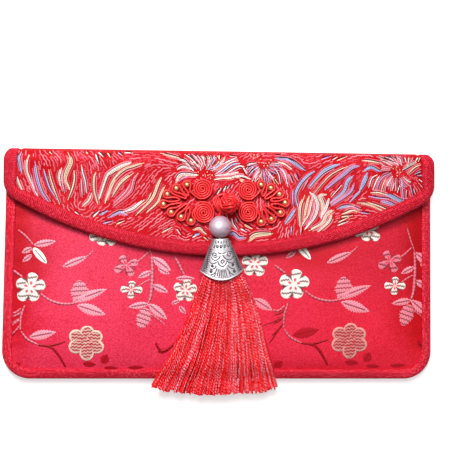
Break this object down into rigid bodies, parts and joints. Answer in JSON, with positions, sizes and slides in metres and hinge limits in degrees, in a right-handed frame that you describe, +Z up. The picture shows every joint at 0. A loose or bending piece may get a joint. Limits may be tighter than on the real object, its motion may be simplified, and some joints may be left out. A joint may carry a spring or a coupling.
{
  "type": "silk red envelope",
  "caption": "Flat brocade pouch with a puffed satin pocket, bound edges, a curved flap closed by a frog fastening, and a pearl, cap and silk tassel hung from its button.",
  "frame": {"origin": "on the floor under the middle of the pouch's bounding box", "axes": "+X along the width to the viewer's right, +Y towards the fold, +Z up through the front as it lies on its back"},
  "size_m": [0.1986, 0.1126, 0.0245],
  "materials": {
    "satin": "woven satin with a soft shine",
    "brocade": "woven brocade",
    "tape": "ribbed matte tape",
    "satin_cord": "satin cord",
    "silk": "twisted silk strands",
    "pearl": "pearly gloss",
    "silver": "antiqued cast metal",
    "gold": "polished"
  },
  "bodies": {
    "root": {"front_panel": "satin", "back_panel": "satin", "flap": "brocade", "body_binding": "tape", "flap_binding": "tape", "frog_wing_left": "satin_cord", "frog_wing_right": "satin_cord", "button_loop": "satin_cord", "button_knot": "satin_cord", "tassel_cord": "satin_cord", "pearl": "pearl", "tassel_cap": "silver", "tassel": "silk", "gold_bead_left_1": "gold", "gold_bead_left_2": "gold", "gold_bead_left_3": "gold", "gold_bead_left_4": "gold", "gold_bead_left_5": "gold", "gold_bead_left_6": "gold", "gold_bead_left_7": "gold", "gold_bead_right_1": "gold", "gold_bead_right_2": "gold", "gold_bead_right_3": "gold", "gold_bead_right_4": "gold", "gold_bead_right_5": "gold", "gold_bead_right_6": "gold", "gold_bead_right_7": "gold"}
  },
  "joints": []
}
